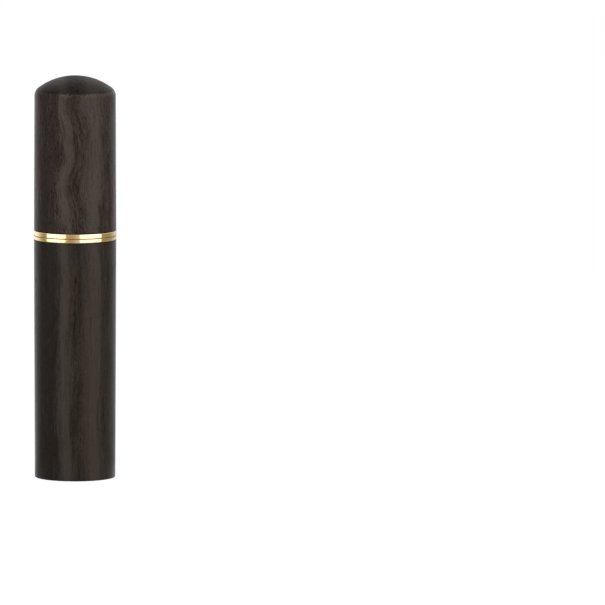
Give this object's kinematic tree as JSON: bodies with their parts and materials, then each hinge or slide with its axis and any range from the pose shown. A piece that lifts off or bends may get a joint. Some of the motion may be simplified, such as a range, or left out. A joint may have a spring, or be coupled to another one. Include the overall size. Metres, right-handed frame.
{
  "type": "needle case",
  "caption": "Slim turned dark wooden needle case with a flat base, a domed pull-off cap and brass rings at the joint.",
  "frame": {"origin": "centre of the flat base, on the surface the case stands on", "axes": "+Z runs along the case from the base to the crown of the cap; X and Y lie in the base"},
  "size_m": [0.0154, 0.0154, 0.075],
  "materials": {
    "body_wood": "satin oiled dark hardwood, fine open pores, lengthwise grain",
    "cap_wood": "satin oiled dark hardwood, fine open pores, lengthwise grain",
    "brass": "polished, fine turning lines",
    "seal_rubber": "matt black",
    "felt": "pressed wool felt"
  },
  "bodies": {
    "case": {"body_shell": "body_wood", "body_ring": "brass", "neck": "brass", "base_pad": "felt"},
    "seal": {"seal_ring": "seal_rubber"},
    "cap": {"cap_shell": "cap_wood", "cap_ring": "brass", "cap_lining": "brass", "cap_pad": "felt"}
  },
  "joints": [
    {"name": "cap_turn", "type": "hinge", "parent": "case", "child": "seal", "pos_m": [0, 0, 0.04525], "axis": [0, 0, 1], "continuous": true},
    {"name": "cap_pull", "type": "slide", "parent": "seal", "child": "cap", "axis": [0, 0, 1], "range_m": [0, 0.06]}
  ]
}
